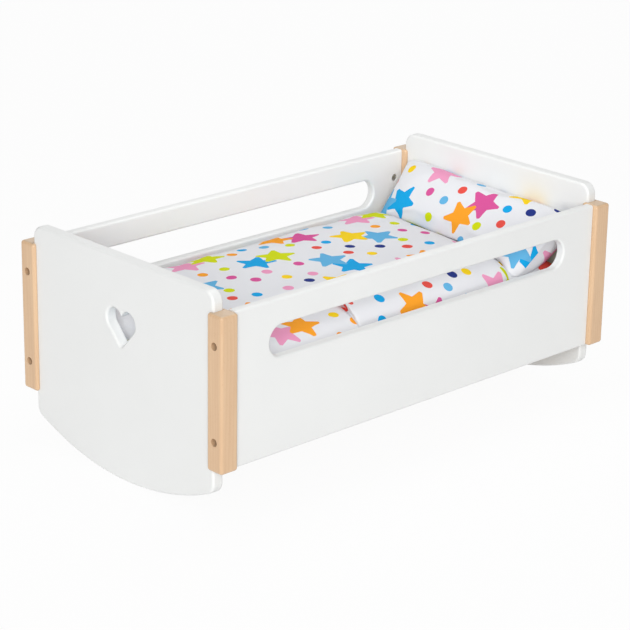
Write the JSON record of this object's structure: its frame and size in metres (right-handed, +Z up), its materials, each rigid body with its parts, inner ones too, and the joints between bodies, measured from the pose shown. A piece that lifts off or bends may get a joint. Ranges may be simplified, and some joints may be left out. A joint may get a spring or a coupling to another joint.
{
  "type": "doll cradle",
  "caption": "Doll's rocking cradle: heart-cut rocker ends in grooved posts, slotted sides drawn up by screws and barrel nuts, with lift-out mattress, duvet and pillow.",
  "frame": {"origin": "on the floor under the middle of the cradle's length and width", "axes": "+X from the foot end to the head end, +Y from the front side to the back side, +Z up"},
  "size_m": [0.515, 0.287, 0.218],
  "materials": {
    "white_lacquer": "wood or fibreboard under satin white lacquer",
    "beech": "planed beech under clear satin lacquer",
    "plywood": "sanded plywood, uncoated",
    "zinc_steel": "zinc-plated",
    "star_cotton": "white woven cotton printed with coloured stars and dots"
  },
  "bodies": {
    "cradle": {"foot_end_panel": "white_lacquer", "head_end_panel": "white_lacquer", "front_side_panel": "white_lacquer", "back_side_panel": "white_lacquer", "post_foot_front": "beech", "post_foot_back": "beech", "post_head_front": "beech", "post_head_back": "beech", "base_board": "plywood", "screw_foot_front_lower": "zinc_steel", "screw_foot_front_upper": "zinc_steel", "screw_foot_back_lower": "zinc_steel", "screw_foot_back_upper": "zinc_steel", "screw_head_front_lower": "zinc_steel", "screw_head_front_upper": "zinc_steel", "screw_head_back_lower": "zinc_steel", "screw_head_back_upper": "zinc_steel", "barrel_nut_foot_front_lower": "zinc_steel", "barrel_nut_foot_front_upper": "zinc_steel", "barrel_nut_foot_back_lower": "zinc_steel", "barrel_nut_foot_back_upper": "zinc_steel", "barrel_nut_head_front_lower": "zinc_steel", "barrel_nut_head_front_upper": "zinc_steel", "barrel_nut_head_back_lower": "zinc_steel", "barrel_nut_head_back_upper": "zinc_steel"},
    "mattress": {"mattress": "star_cotton"},
    "duvet": {"duvet": "star_cotton"},
    "pillow": {"pillow": "star_cotton"}
  },
  "joints": [
    {"name": "mattress_lift", "type": "slide", "parent": "cradle", "child": "mattress", "axis": [0, 0, 1], "range_m": [0, 0.125]},
    {"name": "duvet_lift", "type": "slide", "parent": "mattress", "child": "duvet", "axis": [0, 0, 1], "range_m": [0, 0.09]},
    {"name": "pillow_lift", "type": "slide", "parent": "mattress", "child": "pillow", "axis": [0, 0, 1], "range_m": [0, 0.09]}
  ]
}
